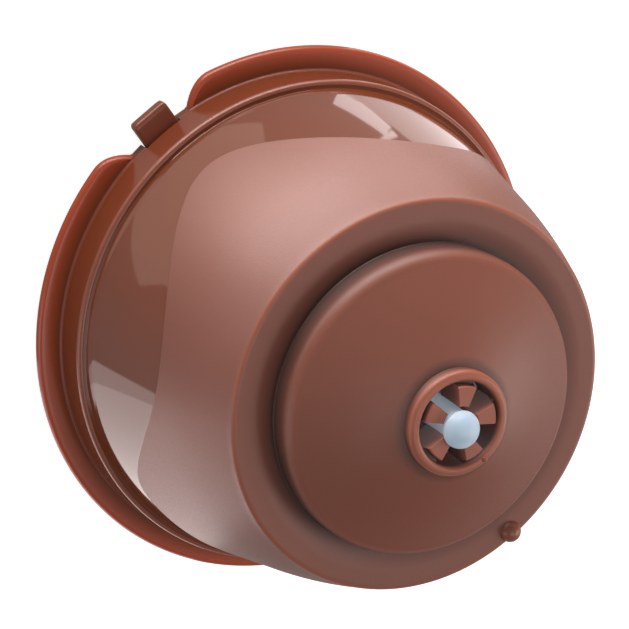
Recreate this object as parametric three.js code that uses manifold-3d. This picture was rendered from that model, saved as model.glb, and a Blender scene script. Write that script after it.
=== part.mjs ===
// Refillable coffee pod, standing head down: the lid faces the table and the nozzle points up.
// Millimetres, +Z up from the lid to the nozzle. The pull tab of the lid points along -Y.
import * as THREE from "three";
import { mergeVertices } from "three/addons/utils/BufferGeometryUtils.js";
import Module from "manifold-3d";

const wasm = await Module();
wasm.setup();

// Driving dimensions of the cup
const skirtRadius = 24.65;
const flangeReach = 2.35;
const flangeThickness = 1.1;
const flangeEdgeRound = 0.5;
const skirtFootRound = 0.2;
const stepHeight = 5.25;
const stepWidth = 0.85;
const stepEdgeRound = 0.42;
const glossTaper = 0.18;
const sleeveInset = 0.5;
const sleeveTaper = 0.196;
const sleeveBendHeight = 18.6;
const sleeveBend = 0.0085;
const baseHeight = 27.75;
const baseEdgeRound = 0.55;
const wall = 1.2;
const floorDraft = 0.3;
const mouthLedgeWidth = 0.9;
const mouthLedgeHeight = 3.9;

// Driving dimensions of the wavy lower edge of the raised matte sleeve, angles from the pull tab
const frontLegHeight = 9.6;
const sideLegHeight = 8.8;
const archHeight = 17.2;
const legRound = 0.4;
const frontArchAngle = 48;
const sideLegStart = 90;
const sideLegEnd = 110;
const rearArchAngle = 145;

// Driving dimensions of the raised base disc, the nozzle and its fins
const discRadius = 14.85;
const discWall = 2.9;
const discFootRound = 0.2;
const discEdgeRound = 0.6;
const dishRise = 3.8;
const dishSwell = 0.25;
const nozzleRadius = 5.1;
const nozzleBore = 4.14;
const nozzleHeight = 1.2;
const nozzleFootRound = 0.25;
const nozzleLipRound = 0.45;
const nozzleInnerBevel = 0.15;
const finCount = 5;
const finTurn = 81.4;
const finHalfAngle = 15;
const finFaceRadius = 3.7;
const finStepDepth = 0.8;
const finDepth = 3.6;
const finStandOut = 0.12;
const pinClearance = 0.25;

// Driving dimensions of the flange notch, the nub and the gate mark
const notchHalfAngle = 8;
const flangeFlare = 3.6;
const mouthEdgeBevel = 0.35;
const nubRadius = 1.05;
const nubHeight = 1.0;
const nubInset = 0.65;
const nubOffset = 0.26;
const gateRadius = 0.3;
const gateHeight = 0.25;

// Driving dimensions of the lid
const fitGap = 0.3;
const lidPlate = 1.1;
const lidEdgeBevel = 0.3;
const plugWall = 1.2;
const plugLeadIn = 0.4;
const tabWidth = 4.0;
const tabThickness = 1.3;
const tabEndRound = 0.5;
const tabSideGap = 0.2;
const inletRadius = 1.6;
const inletLeadIn = 0.5;
const inletTopWall = 0.9;
const inletBossRadius = 3.4;
const inletBossHeight = 2.2;
const showerHoles = 12;
const showerHoleRadius = 0.8;
const showerCircle = 8.5;
const lidRibs = 8;
const lidRibHeight = 1.0;
const lidRibWidth = 0.9;
const screenSeatRadius = 12.6;
const screenSeatWidth = 0.9;

// Driving dimensions of the flow plate, its guide pin and the two screens
const plateThickness = 1.3;
const plateEdgeBevel = 0.2;
const plateSlots = 20;
const plateSlotWidth = 0.9;
const plateSlotInner = 5.6;
const plateSlotLand = 2.4;
const plateHubRadius = 2.6;
const plateHubFoot = 0.6;
const pinFlareHeight = 4.0;
const pinRadius = 1.5;
const pinHeadRadius = 1.72;
const pinHeadAboveFins = 0.35;
const pinDome = 1.45;
const screenThickness = 0.3;
const screenEdge = 0.15;

// Overlap that joins two bodies of one piece, reach of the cutting tools, and facets round the axis
const sunk = 0.5;
const clearOf = 1;
const turns = 64;
const boreTurns = 24;
const degree = Math.PI / 180;
const { lerp } = THREE.MathUtils;

// Sizes that follow from the driving dimensions
const flangeRadius = skirtRadius + flangeReach;
const mouthRadius = skirtRadius - wall;
const innerRadiusAtLedge = mouthRadius - mouthLedgeWidth;
const floorHeight = baseHeight - wall;
const innerRadiusAtFloor = sleeveRadius(floorHeight) - wall - floorDraft;
const discTop = baseHeight + discWall;
const dishTop = discTop + dishRise;
const nozzleTop = dishTop + nozzleHeight;
const finTop = nozzleTop + finStandOut;
const finInnerRadius = pinRadius + pinClearance;
const lidRadius = mouthRadius - fitGap;
const plugTop = mouthLedgeHeight - fitGap;
const plateTop = floorHeight - fitGap;
const plateBottom = plateTop - plateThickness;
const baseScreenTop = plateBottom - fitGap;
const lidScreenRadius = screenSeatRadius - fitGap;

// Radius of the raised sleeve: a straight cone that bends inwards near the base
function sleeveRadius(z) {
  const past = Math.max(0, z - sleeveBendHeight);
  return skirtRadius - sleeveInset - sleeveTaper * (z - stepHeight) - sleeveBend * past * past;
}

// Radius of the glossy wall between the step and the sleeve
function glossRadius(z) {
  return skirtRadius - stepWidth - glossTaper * (z - stepHeight);
}

// Radius of the inner wall, a straight cone from the mouth's ledge to the floor
function innerRadius(z) {
  const share = (z - mouthLedgeHeight) / (floorHeight - mouthLedgeHeight);
  return lerp(innerRadiusAtLedge, innerRadiusAtFloor, share);
}

// Height of the sleeve's lower edge: a leg at the tab, one on each side, one at the back, arches between
function sleeveEdge(angle) {
  const fromTab = Math.abs(Math.atan2(Math.cos(angle), -Math.sin(angle))) / degree;
  const marks = [0, frontArchAngle, sideLegStart, sideLegEnd, rearArchAngle, 180];
  const phases = [0, 90, 180, 180, 270, 360];
  const i = Math.min(marks.length - 2, marks.findLastIndex((mark) => mark <= fromTab));
  const phase = lerp(phases[i], phases[i + 1], (fromTab - marks[i]) / (marks[i + 1] - marks[i]));
  const swing = Math.abs(Math.sin(phase * degree));
  const share = (Math.hypot(swing, legRound) - legRound) / (Math.hypot(1, legRound) - legRound);
  const leg = lerp(sideLegHeight, frontLegHeight, Math.cos(fromTab * degree) ** 2);
  return lerp(leg, archHeight, share);
}

// Points of a quarter arc or less, from one angle to another
function arc(centreR, centreZ, radius, from, to, steps = 2) {
  const points = [];
  for (let i = 0; i <= steps; i += 1) {
    const angle = (from + (to - from) * i / steps) * degree;
    points.push([centreR + radius * Math.cos(angle), centreZ + radius * Math.sin(angle)]);
  }
  return points;
}

// A closed solid from any closed geometry, with its faces pointing out
function solidFrom(geometry) {
  const bare = geometry.clone();
  bare.deleteAttribute("normal");
  bare.deleteAttribute("uv");
  const merged = mergeVertices(bare, 1e-4);
  const place = merged.attributes.position.array;
  const kept = [];
  let volume = 0;
  for (let i = 0; i < merged.index.count; i += 3) {
    const [a, b, c] = [0, 1, 2].map((j) => merged.index.array[i + j]);
    if (a === b || b === c || c === a) continue;
    kept.push(a, b, c);
    const [p, q, r] = [a, b, c].map((k) => new THREE.Vector3().fromArray(place, 3 * k));
    volume += p.dot(q.cross(r));
  }
  if (volume < 0) kept.reverse();
  const mesh = { numProp: 3, vertProperties: new Float32Array(place), triVerts: new Uint32Array(kept) };
  return new wasm.Manifold(new wasm.Mesh(mesh));
}

// A body of revolution about Z from a profile of [radius, height] points
function turned(points, segments = turns) {
  const profile = points.map(([r, z]) => new THREE.Vector2(r, z));
  return solidFrom(new THREE.LatheGeometry(profile, segments).rotateX(Math.PI / 2));
}

// A closed profile, which ends where it starts
function ring(points, segments = turns) {
  return turned([...points, points[0]], segments);
}

// A flat shape drawn out along Z
function drawnOut(shape, bottom, height, curveSegments = 6) {
  const settings = { depth: height, bevelEnabled: false, curveSegments };
  return solidFrom(new THREE.ExtrudeGeometry(shape, settings).translate(0, 0, bottom));
}

// A rectangle in the XY plane, turned about the origin, as a shape
function bar(x0, x1, y0, y1) {
  const shape = new THREE.Shape();
  shape.moveTo(x0, y0);
  shape.lineTo(x1, y0);
  shape.lineTo(x1, y1);
  shape.lineTo(x0, y1);
  shape.closePath();
  return shape;
}

// Copies of one solid at even angles about Z
function around(solid, count, start = 0) {
  let all = solid.rotate([0, 0, start]);
  for (let i = 1; i < count; i += 1) all = all.add(solid.rotate([0, 0, start + 360 * i / count]));
  return all;
}

function named(name, solid, material) {
  const mesh = solid.getMesh();
  const geometry = new THREE.BufferGeometry();
  geometry.setAttribute("position", new THREE.BufferAttribute(new Float32Array(mesh.vertProperties), 3));
  geometry.setIndex(new THREE.BufferAttribute(new Uint32Array(mesh.triVerts), 1));
  geometry.computeVertexNormals();
  const piece = new THREE.Mesh(geometry, material);
  piece.name = name;
  return piece;
}

// Outer and inner outline of the cup, from the flange round the nozzle and back down the inside
function cupShell() {
  const sleeveStart = (stepHeight + sideLegHeight) / 2;
  const sleeveEnd = baseHeight - baseEdgeRound;
  const sleeveSteps = 4;
  const sleeve = [];
  for (let i = 0; i <= sleeveSteps; i += 1) {
    const z = lerp(sleeveStart, sleeveEnd, i / sleeveSteps);
    sleeve.push([sleeveRadius(z), z]);
  }
  const crown = sleeveRadius(sleeveEnd) - baseEdgeRound;
  const dishFoot = nozzleRadius + nozzleFootRound;
  return ring([
    [mouthRadius, 0],
    ...arc(flangeRadius - flangeEdgeRound, flangeEdgeRound, flangeEdgeRound, -90, 0),
    ...arc(flangeRadius - flangeEdgeRound, flangeThickness - flangeEdgeRound, flangeEdgeRound, 0, 90),
    [skirtRadius + skirtFootRound, flangeThickness],
    [skirtRadius, flangeThickness + skirtFootRound],
    ...arc(skirtRadius - stepEdgeRound, stepHeight - stepEdgeRound, stepEdgeRound, 0, 90),
    ...sleeve,
    ...arc(crown, sleeveEnd, baseEdgeRound, 30, 90),
    [discRadius + discFootRound, baseHeight],
    [discRadius, baseHeight + discFootRound],
    ...arc(discRadius - discEdgeRound, discTop - discEdgeRound, discEdgeRound, 0, 70),
    [lerp(discRadius, dishFoot, 0.5), lerp(discTop, dishTop, 0.5) + dishSwell],
    [dishFoot, dishTop],
    [nozzleRadius, dishTop + nozzleFootRound],
    ...arc(nozzleRadius - nozzleLipRound, nozzleTop - nozzleLipRound, nozzleLipRound, 0, 90),
    [nozzleBore + nozzleInnerBevel, nozzleTop],
    [nozzleBore, nozzleTop - nozzleInnerBevel],
    [nozzleBore, dishTop - wall],
    [discRadius - wall, discTop - wall],
    [discRadius - wall, floorHeight],
    [innerRadiusAtFloor, floorHeight],
    [innerRadiusAtLedge, mouthLedgeHeight],
    [mouthRadius, mouthLedgeHeight],
  ]);
}

// The wavy hollow that leaves the matte sleeve standing proud of the glossy wall
function glossRecess() {
  const places = [];
  const faces = [];
  for (let i = 0; i < turns; i += 1) {
    const angle = 2 * Math.PI * i / turns;
    const top = sleeveEdge(angle);
    const radii = [glossRadius(stepHeight), flangeRadius, flangeRadius, glossRadius(top)];
    const heights = [stepHeight, stepHeight, top, top];
    const next = (i + 1) % turns;
    for (let j = 0; j < 4; j += 1) {
      places.push(radii[j] * Math.cos(angle), radii[j] * Math.sin(angle), heights[j]);
      const [a, b] = [4 * i + j, 4 * i + (j + 1) % 4];
      const [c, d] = [4 * next + (j + 1) % 4, 4 * next + j];
      faces.push(a, c, b, a, d, c);
    }
  }
  const geometry = new THREE.BufferGeometry();
  geometry.setAttribute("position", new THREE.Float32BufferAttribute(places, 3));
  geometry.setIndex(faces);
  return solidFrom(geometry);
}

// The gap in the flange round the pull tab: each flange end flares away from the skirt in a soft curve
function flangeNotch() {
  const half = notchHalfAngle * degree;
  const flare = flangeFlare / flangeRadius;
  const reach = (flangeRadius + clearOf) / Math.cos(half + flare);
  const bottom = -clearOf;
  const top = flangeThickness + skirtFootRound;
  const at = (radius, angle) => [radius * Math.sin(angle), -radius * Math.cos(angle)];
  const shape = new THREE.Shape();
  shape.moveTo(...at(skirtRadius - clearOf, -half));
  shape.lineTo(...at(skirtRadius, -half));
  shape.quadraticCurveTo(...at(flangeRadius, -half - flare / 2), ...at(flangeRadius, -half - flare));
  shape.lineTo(...at(reach, -half - flare));
  shape.lineTo(...at(reach, half + flare));
  shape.lineTo(...at(flangeRadius, half + flare));
  shape.quadraticCurveTo(...at(flangeRadius, half + flare / 2), ...at(skirtRadius, half));
  shape.lineTo(...at(skirtRadius - clearOf, half));
  shape.closePath();
  const skirt = turned([
    [0, bottom],
    [skirtRadius - mouthEdgeBevel, bottom],
    [skirtRadius - mouthEdgeBevel, 0],
    [skirtRadius, mouthEdgeBevel],
    [skirtRadius, top + clearOf],
    [0, top + clearOf],
  ]);
  return drawnOut(shape, bottom, top - bottom).subtract(skirt);
}

// The slot in the cup's mouth that the pull tab passes through
function tabSlot() {
  const half = tabWidth / 2 + tabSideGap;
  const outline = bar(-half, half, -skirtRadius - clearOf, -mouthRadius + clearOf);
  return drawnOut(outline, -clearOf, clearOf + tabThickness + fitGap);
}

// Five wedge-shaped fins that hold the jet together round the guide pin
function nozzleFins() {
  const bottom = finTop - finDepth;
  const root = (nozzleBore + nozzleRadius) / 2;
  const reach = 2 * nozzleRadius;
  const spread = reach * Math.tan(finHalfAngle * degree);
  const band = ring([
    [finInnerRadius, bottom],
    [root, bottom],
    [root, finTop - finStepDepth],
    [finFaceRadius, finTop - finStepDepth],
    [finFaceRadius, finTop],
    [finInnerRadius, finTop],
  ], 2 * boreTurns);
  const wedge = new THREE.Shape();
  wedge.moveTo(0, 0);
  wedge.lineTo(reach, -spread);
  wedge.lineTo(reach, spread);
  wedge.closePath();
  const wedges = around(drawnOut(wedge, bottom - clearOf, finDepth + 2 * clearOf), finCount, finTurn);
  return band.intersect(wedges);
}

// A small domed stud, for the nub on the base edge and the gate mark on the nozzle
function stud(radius, foot, height, x, y) {
  const bottom = foot - sunk;
  const dome = Math.min(radius, height + sunk);
  const side = arc(0, 0, 1, 0, 90, 4).map(([r, z]) => [r * radius, foot + height + (z - 1) * dome]);
  side[side.length - 1][0] = 0;
  return turned([[0, bottom], [radius, bottom], ...side], boreTurns / 2).translate([x, y, 0]);
}

function cup() {
  const nubPlace = sleeveRadius(baseHeight) - nubInset;
  const gatePlace = (nozzleBore + nozzleRadius) / 2;
  return cupShell()
    .subtract(glossRecess())
    .subtract(flangeNotch())
    .subtract(tabSlot())
    .add(nozzleFins())
    .add(stud(nubRadius, baseHeight, nubHeight, nubOffset, nubPlace))
    .add(stud(gateRadius, nozzleTop, gateHeight, 0, gatePlace));
}

// Pull tab: its plan with round corners, cut to a side view with a round upper end
function pullTab() {
  const half = tabWidth / 2;
  const start = lidRadius - 2 * sunk;
  const plan = new THREE.Shape();
  plan.moveTo(-half, -start);
  plan.lineTo(-half, -flangeRadius + tabEndRound);
  plan.quadraticCurveTo(-half, -flangeRadius, -half + tabEndRound, -flangeRadius);
  plan.lineTo(half - tabEndRound, -flangeRadius);
  plan.quadraticCurveTo(half, -flangeRadius, half, -flangeRadius + tabEndRound);
  plan.lineTo(half, -start);
  plan.closePath();
  const side = new THREE.Shape();
  side.moveTo(start - clearOf, 0);
  side.lineTo(flangeRadius, 0);
  side.lineTo(flangeRadius, tabThickness - tabEndRound);
  side.quadraticCurveTo(flangeRadius, tabThickness, flangeRadius - tabEndRound, tabThickness);
  side.lineTo(start - clearOf, tabThickness);
  side.closePath();
  const across = drawnOut(side, -half - clearOf, tabWidth + 2 * clearOf, 3);
  return drawnOut(plan, 0, tabThickness, 3).intersect(across.rotate([90, 0, 0]).rotate([0, 0, -90]));
}

// One straight rib along +X on the inner face of the lid
function lidRib(from, to) {
  return drawnOut(bar(from, to, -lidRibWidth / 2, lidRibWidth / 2), lidPlate - sunk, sunk + lidRibHeight);
}

// Plug lid: plate, plug ring, needle inlet, shower holes, ribs, screen seat and pull tab
function lid() {
  const inletTop = lidPlate + inletBossHeight;
  const bossShoulder = lidPlate + lidRibHeight;
  const seatTop = bossShoulder + screenThickness + fitGap;
  const seatMiddle = screenSeatRadius + screenSeatWidth / 2;
  const body = ring([
    [inletRadius, inletLeadIn],
    [inletRadius + inletLeadIn, 0],
    [lidRadius - lidEdgeBevel, 0],
    [lidRadius, lidEdgeBevel],
    [lidRadius, plugTop - plugLeadIn],
    [lidRadius - plugLeadIn, plugTop],
    [lidRadius - plugWall, plugTop],
    [lidRadius - plugWall, lidPlate],
    [screenSeatRadius + screenSeatWidth, lidPlate],
    [screenSeatRadius + screenSeatWidth, seatTop],
    [screenSeatRadius, seatTop],
    [screenSeatRadius, lidPlate],
    [inletBossRadius, lidPlate],
    [inletBossRadius, bossShoulder],
    [inletRadius + inletTopWall, inletTop],
    [inletRadius, inletTop],
  ]);
  const hole = turned([
    [0, -clearOf],
    [showerHoleRadius, -clearOf],
    [showerHoleRadius, lidPlate + clearOf],
    [0, lidPlate + clearOf],
  ], boreTurns / 2);
  return body
    .add(around(lidRib(seatMiddle, lidRadius - plugWall / 2), lidRibs))
    .add(around(lidRib(inletBossRadius - sunk, seatMiddle), lidRibs))
    .add(pullTab())
    .subtract(around(hole.translate([showerCircle, 0, 0]), showerHoles, 180 / lidRibs));
}

// Flow plate with drain slots, and the guide pin that stands up through the nozzle
function flowPlate() {
  const edge = innerRadius(plateTop) - fitGap;
  const pinHead = finTop + pinHeadAboveFins;
  const headFoot = finTop - pinHeadAboveFins;
  const dome = arc(0, 0, 1, 0, 90, 6).map(([r, z]) => [r * pinHeadRadius, pinHead + z * pinDome]);
  dome[dome.length - 1][0] = 0;
  const body = turned([
    [0, plateBottom],
    [edge, plateBottom],
    [edge - plateEdgeBevel, plateTop],
    [plateHubRadius + plateHubFoot, plateTop],
    [plateHubRadius, plateTop + plateHubFoot],
    [pinRadius, plateTop + pinFlareHeight],
    [pinRadius, headFoot],
    [(pinRadius + pinHeadRadius) / 2, finTop],
    ...dome,
  ], 2 * boreTurns);
  const outline = bar(plateSlotInner, edge - plateSlotLand, -plateSlotWidth / 2, plateSlotWidth / 2);
  const slot = drawnOut(outline, plateBottom - clearOf, plateThickness + 2 * clearOf);
  return body.subtract(around(slot, plateSlots));
}

// A round screen of fine woven wire with a rolled edge
function screen(radius, bottom, hole) {
  const top = bottom + screenThickness;
  const outer = [[radius - screenEdge, bottom], [radius, (bottom + top) / 2], [radius - screenEdge, top]];
  if (hole === 0) return turned([[0, bottom], ...outer, [0, top]], 2 * boreTurns);
  return ring([[hole, bottom], ...outer, [hole, top]], 2 * boreTurns);
}

const brownPlastic = new THREE.MeshStandardMaterial({ color: 0x7a4a3a, roughness: 0.45, metalness: 0 });
const lidPlastic = new THREE.MeshStandardMaterial({ color: 0x84503c, roughness: 0.35, metalness: 0 });
const clearPlastic = new THREE.MeshStandardMaterial({ color: 0xb4c6d6, roughness: 0.3, metalness: 0 });
const steelMesh = new THREE.MeshStandardMaterial({ color: 0xb8bcc0, roughness: 0.35, metalness: 1 });

const lidScreenBottom = lidPlate + lidRibHeight + fitGap / 2;
const lidScreenHole = inletBossRadius + fitGap;
const baseScreenRadius = innerRadius(baseScreenTop) - 2 * fitGap;

const pod = new THREE.Group();
pod.add(named("cup", cup(), brownPlastic));
pod.add(named("lid", lid(), lidPlastic));
pod.add(named("lid_screen", screen(lidScreenRadius, lidScreenBottom, lidScreenHole), steelMesh));
pod.add(named("flow_plate", flowPlate(), clearPlastic));
pod.add(named("base_screen", screen(baseScreenRadius, baseScreenTop - screenThickness, 0), steelMesh));

export default pod;
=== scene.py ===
"""Refillable coffee pod, head down on a pale floor: its surfaces, finishes, camera and lights."""

import math

import bpy
import numpy as np
from mathutils import Matrix, Vector


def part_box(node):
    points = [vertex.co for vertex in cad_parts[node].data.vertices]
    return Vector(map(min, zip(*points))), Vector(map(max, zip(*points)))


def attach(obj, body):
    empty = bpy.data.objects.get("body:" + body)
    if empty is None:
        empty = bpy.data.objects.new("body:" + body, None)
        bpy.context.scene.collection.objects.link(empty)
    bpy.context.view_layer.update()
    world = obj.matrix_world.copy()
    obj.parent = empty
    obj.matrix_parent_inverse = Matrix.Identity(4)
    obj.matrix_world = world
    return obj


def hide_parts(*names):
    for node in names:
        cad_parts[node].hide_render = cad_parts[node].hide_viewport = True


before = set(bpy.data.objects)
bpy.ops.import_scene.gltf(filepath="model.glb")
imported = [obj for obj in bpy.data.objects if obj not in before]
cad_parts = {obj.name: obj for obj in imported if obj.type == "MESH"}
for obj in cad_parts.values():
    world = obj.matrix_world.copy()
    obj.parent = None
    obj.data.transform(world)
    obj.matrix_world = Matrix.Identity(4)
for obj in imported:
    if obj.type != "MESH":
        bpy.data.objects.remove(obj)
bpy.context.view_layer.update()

MM = 0.001
DEG = math.pi / 180

# Small spaces in millimetres: three between the points of an outline, one by which shapes run into others,
# and the radius at which a turned shape closes on its axis
hair = 0.01
near = 0.05
apart = 0.1
overlap = 0.2
closing_radius = 0.02

# Cup, in millimetres
flange_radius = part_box("cup")[1][0] / MM
flange_thickness = 1.1
flange_edge = 0.5
skirt_radius = 24.65
skirt_foot = 0.2
skirt_start = 0.5
step_height = 5.25
step_edge = 0.42
step_fall = 0.03
step_width = 0.85
gloss_at_step = skirt_radius - step_width
gloss_taper = 0.18
sleeve_at_step = 24.15
sleeve_taper = 0.196
sleeve_bend_height = 18.6
sleeve_bend = 0.0085
sleeve_edge = 0.14
base_height = 27.75
base_edge = 0.5
wall = 1.2
wall_at_floor = 1.5
mouth_edge = 0.35
mouth_break = 0.15
mouth_radius = skirt_radius - wall
ledge_width = 0.9
ledge_radius = mouth_radius - ledge_width
ledge_height = 3.9
floor_height = base_height - wall
floor_corner = 0.8
inner_wall_top = floor_height - 1

# Wavy edge of the sleeve: at each mark, in degrees from the tab, the wave's turn so far, in degrees
front_leg = 9.6
side_leg = 8.8
arch_height = 17.2
leg_round = 0.4
wave_marks = [0, 48, 90, 110, 145, 180]
wave_turns = [0, 90, 180, 180, 270, 360]

# Raised disc, dish and nozzle
disc_radius = 14.85
disc_rise = 2.9
disc_top = base_height + disc_rise
disc_foot = 0.12
disc_edge = 1.5
groove_depth = 0.3
groove_reach = 2.5
# Power by which the painted shade in the groove fades away from the disc
groove_shade_fade = 1.6
dish_rise = 3.8
dish_top = disc_top + dish_rise
dish_swell = 0.25
dish_end = 0.4
nozzle_radius = 5.1
nozzle_bore = 4.14
nozzle_rise = 1.2
nozzle_top = dish_top + nozzle_rise
nozzle_foot = 0.1
nozzle_lip = 0.5
nozzle_inner_lip = 0.25
# Share of painted shade at the foot of the nozzle ring and on the dish beside it
nozzle_shade = 0.6
fin_count = 5
fin_turn = 81.4
fin_half_angle = 15
fin_stand = 0.12
fin_top = nozzle_top + fin_stand
fin_face_radius = 3.7
fin_step = 0.8
fin_depth = 3.6
fin_tip_radius = 1.75
fin_edge = 0.12

# Flange notch, tab slot, nub and gate mark, all on the line of the pull tab
tab_turn = -90
notch_half_angle = 8
flange_flare = 3.6
slot_half_angle = 5.0
slot_height = 1.6
nub_radius = 1.05
nub_centre = (0.26, 18.38)
nub_rise = 0.95
nub_depth = 0.5
gate_radius = 0.3
gate_rise = 0.28
gate_depth = 0.2

# Lid
fit_gap = 0.3
lid_radius = mouth_radius - fit_gap
lid_plate = 1.1
lid_edge = 0.3
plug_top = ledge_height - fit_gap
plug_wall = 1.2
plug_edge = 0.4
edge_cut = 0.3
tab_half_width = 2.0
tab_thickness = 1.3
tab_root = 0.6
tab_corner = 0.55
tab_squareness = (0.16, 0.42)
tab_drawn_in = (0.7, 0.6)
inlet_radius = 1.6
inlet_bevel = 0.5
inlet_wall = 0.9
inlet_boss_radius = 3.4
inlet_rise = 2.2
inlet_top = lid_plate + inlet_rise
seat_radius = 12.6
seat_width = 0.9
rib_height = 1.0
rib_width = 0.9
rib_count = 8
shower_count = 12
shower_turn = 22.5
shower_radius = 0.8
shower_circle = 8.5

# Flow plate and guide pin
plate_thickness = 1.3
plate_top = floor_height - fit_gap
plate_bottom = plate_top - plate_thickness
plate_radius = 17.6
plate_slots = 20
slot_inner = 5.6
slot_outer = 15.2
slot_cells = 4
slot_width = 0.9
hub_radius = 2.6
hub_flare = 3.6
shank_start = 5
pin_radius = 1.5
pin_neck_start = 0.6
pin_neck_radius = 1.64
pin_head_radius = 1.8
pin_lean = (0.3, 0.1)
pin_stand = 0.35
pin_head = fin_top + pin_stand
pin_dome = 1.45
# Height above the plate where the pin's painted glow starts, and the height over which it grows to full
pin_glow_start = 3
pin_glow_reach = 3

# Screens
screen_thickness = 0.3
screen_rim = 0.5
wire_pitch = 0.55
wire_thickness = 0.1


def column(values):
    """The values as one column, so that they spread against the angles."""
    return np.asarray(values, float)[None, :]


def line(start, end, count):
    """Evenly spaced values from start to end, as one column."""
    return column(np.linspace(start, end, count))


def mix(a, b, share):
    """Linear blend: a where share is 0 and b where it is 1."""
    return a + (b - a) * share


def smooth_step(value):
    """Three times the square minus twice the cube of a value held between 0 and 1."""
    held = np.clip(value, 0, 1)
    return held * held * (3 - 2 * held)


def arc(centre_r, centre_z, radius, start, end, count):
    """Points of an arc in the radius and height plane, from one angle in degrees to another."""
    sweep = np.linspace(start, end, count) * DEG
    return centre_r + radius * np.cos(sweep), centre_z + radius * np.sin(sweep)


def turn_from(angle, centre):
    """Signed angle from a centre, between minus and plus half a turn."""
    return (angle - centre + np.pi) % (2 * np.pi) - np.pi


def off_tab(angle):
    """Unsigned angle from the line of the pull tab."""
    return np.abs(turn_from(angle, tab_turn * DEG))


def angles_with(marks, count=360, spread=0.03):
    """Even angles with a few extra ones close to each side of every mark, sorted."""
    even = np.linspace(0, 2 * np.pi, count, endpoint=False)
    beside = np.array([-12, -6, -3, -1, 1, 3, 6, 12]) * spread * DEG
    extra = (np.asarray(marks)[:, None] + beside[None, :]).ravel() % (2 * np.pi)
    return np.unique(np.round(np.concatenate([even, extra]), 7))


def sleeve_radius(z):
    """Straight cone that bends inwards past sleeve_bend_height by the square of the height."""
    past = np.maximum(0, z - sleeve_bend_height)
    return sleeve_at_step - sleeve_taper * (z - step_height) - sleeve_bend * past ** 2


def gloss_radius(z):
    """Straight cone of the glossy wall, just inside the sleeve."""
    return gloss_at_step - gloss_taper * (z - step_height)


def inner_radius(z):
    """Straight cone of the inner wall, from the mouth's ledge to the floor."""
    at_floor = sleeve_radius(floor_height) - wall_at_floor
    return mix(ledge_radius, at_floor, (z - ledge_height) / (floor_height - ledge_height))


def crown_radius():
    """Radius where the flat base starts: the sleeve's at the foot of the base edge, less that edge."""
    return float(sleeve_radius(base_height - base_edge)) - base_edge


def leg_edge(angle):
    """Height of the sleeve's lower edge: arches by the sine of the wave's turn, between rounded legs
    whose own height goes from side_leg to front_leg by the squared cosine of the angle from the tab."""
    from_tab = off_tab(angle) / DEG
    swing = np.abs(np.sin(np.interp(from_tab, wave_marks, wave_turns) * DEG))
    share = (np.hypot(swing, leg_round) - leg_round) / (math.hypot(1, leg_round) - leg_round)
    leg = mix(side_leg, front_leg, np.cos(from_tab * DEG) ** 2)
    return mix(leg, arch_height, share)


def rim_lift(angle):
    """Lowest height of the cup's rim: 0, or the slot's height where the pull tab passes through."""
    return slot_height * (off_tab(angle) < slot_half_angle * DEG)


def add_mesh(name, places, faces, material, body, looks=None, smooth_angle=30):
    """A mesh object in metres from places in millimetres. Its quads are reversed where the volume inside
    them, summed from the triple products of their corners, is negative, so that they point outwards."""
    places = np.asarray(places, float)
    faces = np.asarray(faces)
    corner = [places[faces[:, i]] for i in range(4)]
    volume = np.einsum("ij,ij->", corner[0], np.cross(corner[1], corner[2]))
    volume += np.einsum("ij,ij->", corner[0], np.cross(corner[2], corner[3]))
    if volume < 0:
        faces = faces[:, ::-1]
    mesh = bpy.data.meshes.new(name)
    mesh.from_pydata((places * MM).tolist(), [], faces.tolist())
    for look, values in (looks or {}).items():
        layer = mesh.attributes.new(look, "FLOAT", "POINT")
        layer.data.foreach_set("value", np.asarray(values, np.float32))
    mesh.shade_smooth()
    mesh.set_sharp_from_angle(angle=smooth_angle * DEG)
    mesh.materials.append(material)
    piece = bpy.data.objects.new(name, mesh)
    bpy.context.scene.collection.objects.link(piece)
    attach(piece, body)
    return piece


def grid_faces(rows, columns, close_rows=True):
    """Quads of a grid of points, closed round its columns, and round its rows unless told otherwise."""
    i = np.arange(rows if close_rows else rows - 1)
    j = np.arange(columns)
    i, j = np.meshgrid(i, j, indexing="ij")
    i, j = i.ravel(), j.ravel()
    next_i, next_j = (i + 1) % rows, (j + 1) % columns
    quads = [i * columns + j, next_i * columns + j, next_i * columns + next_j, i * columns + next_j]
    return np.stack(quads, 1)


def joined(parts):
    """Several (places, faces) pairs as one pair."""
    places, faces, first = [], [], 0
    for part_places, part_faces in parts:
        places.append(part_places)
        faces.append(part_faces + first)
        first += len(part_places)
    return np.concatenate(places), np.concatenate(faces)


def revolve(angles, radius, height):
    """Radius and height arrays of one row per angle, carried round Z and closed both ways: X is the radius
    times the angle's cosine, and Y is the radius times its sine."""
    angle = angles[:, None]
    places = np.stack([radius * np.cos(angle), radius * np.sin(angle), height], 2)
    return places.reshape(-1, 3), grid_faces(*radius.shape)


def turned_ring(profile, turns=240):
    """A closed profile of radius and height points, carried round Z."""
    profile = np.asarray(profile, float)
    angles = np.linspace(0, 2 * np.pi, turns, endpoint=False)
    shape = (turns, len(profile))
    return revolve(angles, np.broadcast_to(profile[:, 0], shape), np.broadcast_to(profile[:, 1], shape))


def dome(centre, radius, rise, depth):
    """A cap that is a quarter ellipse turned round its own axis, on a foot that sinks by its depth."""
    sweep_r, sweep_z = arc(0, 0, 1, 0.5, 90, 8)
    profile_r = np.concatenate([[closing_radius, radius], radius * sweep_r[:-1], [closing_radius]])
    profile_z = np.concatenate([[-depth, -depth], rise * sweep_z])
    places, faces = turned_ring(np.stack([profile_r, profile_z], 1), 32)
    return places + np.asarray(centre), faces


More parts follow.
